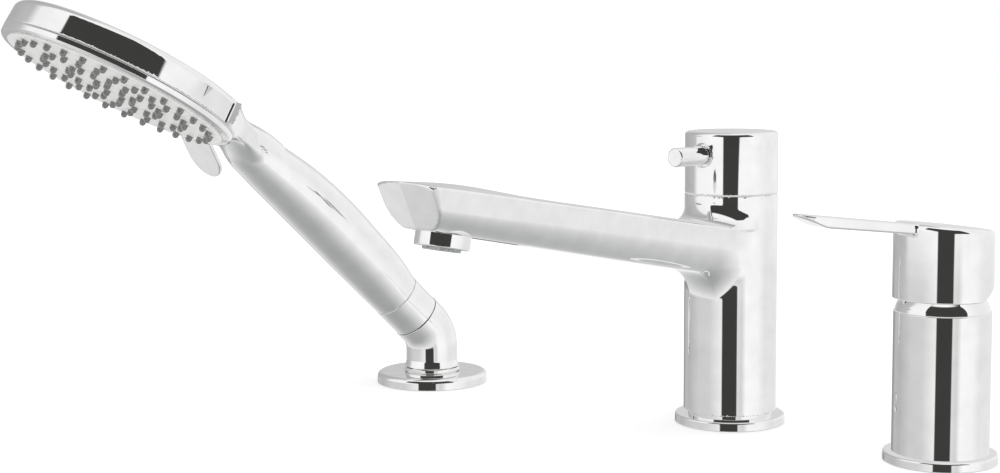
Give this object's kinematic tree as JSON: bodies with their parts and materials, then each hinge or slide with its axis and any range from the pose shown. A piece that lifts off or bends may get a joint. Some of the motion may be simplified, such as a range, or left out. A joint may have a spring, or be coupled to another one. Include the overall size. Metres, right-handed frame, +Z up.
{
  "type": "deck-mounted bath mixer",
  "caption": "Deck-mounted bath filler set with a fixed spout and diverter knob, a lever mixer and a pull-out hand shower in a holder",
  "frame": {"origin": "on the deck top, at the axis of the spout column", "axes": "+Z up, -Y towards the bath (the spout points that way, and the lever 19 degrees to its side), +X to the mixer, -X to the hand shower"},
  "size_m": [0.4294, 0.2919, 0.3355],
  "materials": {
    "polished_chrome": "mirror polished plating",
    "black_rubber": "matt",
    "zinc_steel": "zinc plated",
    "raw_brass": "machined",
    "cartridge_plastic": "moulded",
    "copper_tube": "drawn tube",
    "face_plastic": "satin gloss",
    "nozzle_rubber": "soft gloss silicone"
  },
  "bodies": {
    "deck_units": {"spout_flange": "polished_chrome", "spout_body": "polished_chrome", "spout_plinth_ring": "polished_chrome", "mixer_flange": "polished_chrome", "mixer_body": "polished_chrome", "dome_ring": "polished_chrome", "shower_flange": "polished_chrome", "holder_collar": "polished_chrome", "aerator_housing": "polished_chrome", "spout_gasket": "black_rubber", "spout_rubber_washer": "black_rubber", "aerator_gasket": "black_rubber", "diverter_seal": "black_rubber", "mixer_gasket": "black_rubber", "mixer_rubber_washer": "black_rubber", "shower_gasket": "black_rubber", "shower_rubber_washer": "black_rubber", "spout_steel_washer": "zinc_steel", "mixer_steel_washer": "zinc_steel", "shower_steel_washer": "zinc_steel", "spout_shank": "raw_brass", "spout_locknut": "raw_brass", "mixer_shank": "raw_brass", "mixer_locknut": "raw_brass", "shower_shank": "raw_brass", "shower_locknut": "raw_brass", "valve_body": "raw_brass", "cartridge_nut": "raw_brass", "diverter_nut": "raw_brass", "diverter_cartridge": "raw_brass", "ceramic_cartridge": "cartridge_plastic", "aerator_insert": "cartridge_plastic", "inlet_tails": "copper_tube"},
    "diverter": {"diverter_stem": "raw_brass", "diverter_knob": "polished_chrome", "knob_pin": "polished_chrome", "knob_grub_screw": "zinc_steel"},
    "mixer_turn": {"mixer_hub": "raw_brass", "lever_pivot_pin": "zinc_steel"},
    "mixer_lever": {"lever_cap": "polished_chrome", "lever_stem": "raw_brass", "lever_grub_screw": "zinc_steel", "index_plug": "face_plastic"},
    "holder_swivel": {"holder_elbow": "polished_chrome"},
    "hose_cone": {"hose_cone_nut": "polished_chrome", "inlet_washer": "black_rubber"},
    "handset": {"handset_shell": "polished_chrome", "handle_waterway": "cartridge_plastic", "carrier_disc": "cartridge_plastic"},
    "spray_disc": {"selector_ring": "polished_chrome", "spray_plate": "face_plastic", "nozzle_sheet": "nozzle_rubber"}
  },
  "joints": [
    {"name": "diverter_turn", "type": "hinge", "parent": "deck_units", "child": "diverter", "pos_m": [0, 0, 0.13], "axis": [0, 0, 1], "range_deg": [-90, 0]},
    {"name": "mixer_temperature", "type": "hinge", "parent": "deck_units", "child": "mixer_turn", "pos_m": [0.121, 0, 0.064], "axis": [0, 0, 1], "range_deg": [-31, 69]},
    {"name": "mixer_flow", "type": "hinge", "parent": "mixer_turn", "child": "mixer_lever", "pos_m": [0.121, 0, 0.064], "axis": [-0.9455, 0.3256, 0], "range_deg": [0, 20]},
    {"name": "holder_turn", "type": "hinge", "parent": "deck_units", "child": "holder_swivel", "pos_m": [-0.1854, -0.033, 0.01], "axis": [0, 0, 1], "range_deg": [-30, 30]},
    {"name": "handset_lift", "type": "slide", "parent": "holder_swivel", "child": "hose_cone", "axis": [-0.1386, -0.6934, 0.7071], "range_m": [0, 0.06]},
    {"name": "handset_swivel", "type": "hinge", "parent": "hose_cone", "child": "handset", "pos_m": [-0.18741, -0.04304, 0.03783], "axis": [-0.1386, -0.6934, 0.7071], "continuous": true},
    {"name": "spray_select", "type": "hinge", "parent": "handset", "child": "spray_disc", "pos_m": [-0.22099, -0.21112, 0.16737], "axis": [0.0962, 0.4814, 0.8712], "range_deg": [0, 60]}
  ]
}
